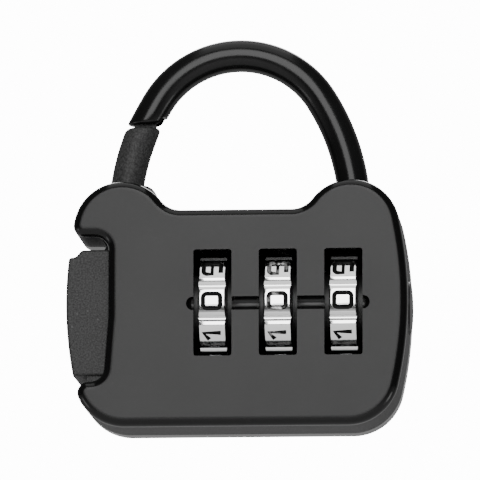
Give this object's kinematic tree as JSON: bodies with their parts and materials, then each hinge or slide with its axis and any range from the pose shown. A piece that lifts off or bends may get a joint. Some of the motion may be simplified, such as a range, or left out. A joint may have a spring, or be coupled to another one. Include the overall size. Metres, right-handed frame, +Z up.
{
  "type": "combination padlock",
  "caption": "Small handbag-shaped gate padlock: arched shackle with a swinging gate and side lever, number wheels in windows, and a side reset button.",
  "frame": {"origin": "centre of the flat bottom, under the shackle, halfway between the front and back faces", "axes": "+X right as seen from the front, +Y towards the back, +Z up to the shackle"},
  "size_m": [0.0402, 0.0147, 0.0465],
  "materials": {
    "shell_black": "smooth satin black enamel on die-cast zinc",
    "shackle_black": "glossy black enamel on steel",
    "gate_black": "matte black, fine sand texture",
    "button_black": "matte black, fine sand texture",
    "wheel_chrome": "bright nickel-chrome plate, digits sunk and filled black",
    "sleeve_brass": "turned brass",
    "frame_black": "black oxide",
    "spring_steel": "bright spring steel"
  },
  "bodies": {
    "body": {"front_shell": "shell_black", "rear_cover": "shell_black", "cover_rivets": "shell_black", "shackle": "shackle_black", "shackle_pin": "spring_steel", "gate_pivot_pin": "spring_steel", "gate_spring": "spring_steel", "inner_frame": "frame_black", "detent_spring": "spring_steel", "detent_rivets": "spring_steel", "reset_spring": "spring_steel"},
    "gate_lever": {"gate_lever": "gate_black"},
    "spindle": {"spindle": "spring_steel", "spindle_clip": "spring_steel"},
    "reset_button": {"reset_button": "button_black", "thrust_washer": "spring_steel", "spindle_spring": "spring_steel"},
    "wheel_left": {"number_wheel_left": "wheel_chrome"},
    "sleeve_left": {"clutch_sleeve_left": "sleeve_brass"},
    "wheel_middle": {"number_wheel_middle": "wheel_chrome"},
    "sleeve_middle": {"clutch_sleeve_middle": "sleeve_brass"},
    "wheel_right": {"number_wheel_right": "wheel_chrome"},
    "sleeve_right": {"clutch_sleeve_right": "sleeve_brass"}
  },
  "joints": [
    {"name": "gate_swing", "type": "hinge", "parent": "body", "child": "gate_lever", "pos_m": [-0.0156, 0, 0.0042], "axis": [0, 1, 0], "range_deg": [0, 11], "stiffness_Nm_per_rad": 0.03, "springref_deg": -20.05, "deforming": ["gate_spring"]},
    {"name": "spindle_slide", "type": "slide", "parent": "body", "child": "spindle", "axis": [1, 0, 0], "range_m": [0, 0.00205], "deforming": ["spindle_spring"]},
    {"name": "reset_press", "type": "slide", "parent": "body", "child": "reset_button", "axis": [-1, 0, 0], "range_m": [0, 0.0012], "stiffness_N_per_m": 300, "springref_m": -0.001, "deforming": ["reset_spring"]},
    {"name": "wheel_left_turn", "type": "hinge", "parent": "body", "child": "wheel_left", "pos_m": [0, -0.0012, 0.0144], "axis": [1, 0, 0], "continuous": true, "deforming": ["detent_spring"]},
    {"name": "wheel_middle_turn", "type": "hinge", "parent": "body", "child": "wheel_middle", "pos_m": [0, -0.0012, 0.0144], "axis": [1, 0, 0], "continuous": true, "deforming": ["detent_spring"]},
    {"name": "wheel_right_turn", "type": "hinge", "parent": "body", "child": "wheel_right", "pos_m": [0, -0.0012, 0.0144], "axis": [1, 0, 0], "continuous": true, "deforming": ["detent_spring"]},
    {"name": "sleeve_left_turn", "type": "hinge", "parent": "reset_button", "child": "sleeve_left", "pos_m": [0, -0.0012, 0.0144], "axis": [1, 0, 0], "continuous": true},
    {"name": "sleeve_middle_turn", "type": "hinge", "parent": "reset_button", "child": "sleeve_middle", "pos_m": [0, -0.0012, 0.0144], "axis": [1, 0, 0], "continuous": true},
    {"name": "sleeve_right_turn", "type": "hinge", "parent": "reset_button", "child": "sleeve_right", "pos_m": [0, -0.0012, 0.0144], "axis": [1, 0, 0], "continuous": true}
  ],
  "couplings": [
    {"joint": "spindle_slide", "follows": "gate_swing", "m_per_rad": 0.0102},
    {"joint": "sleeve_left_turn", "follows": "wheel_left_turn", "ratio": 1},
    {"joint": "sleeve_middle_turn", "follows": "wheel_middle_turn", "ratio": 1},
    {"joint": "sleeve_right_turn", "follows": "wheel_right_turn", "ratio": 1}
  ]
}
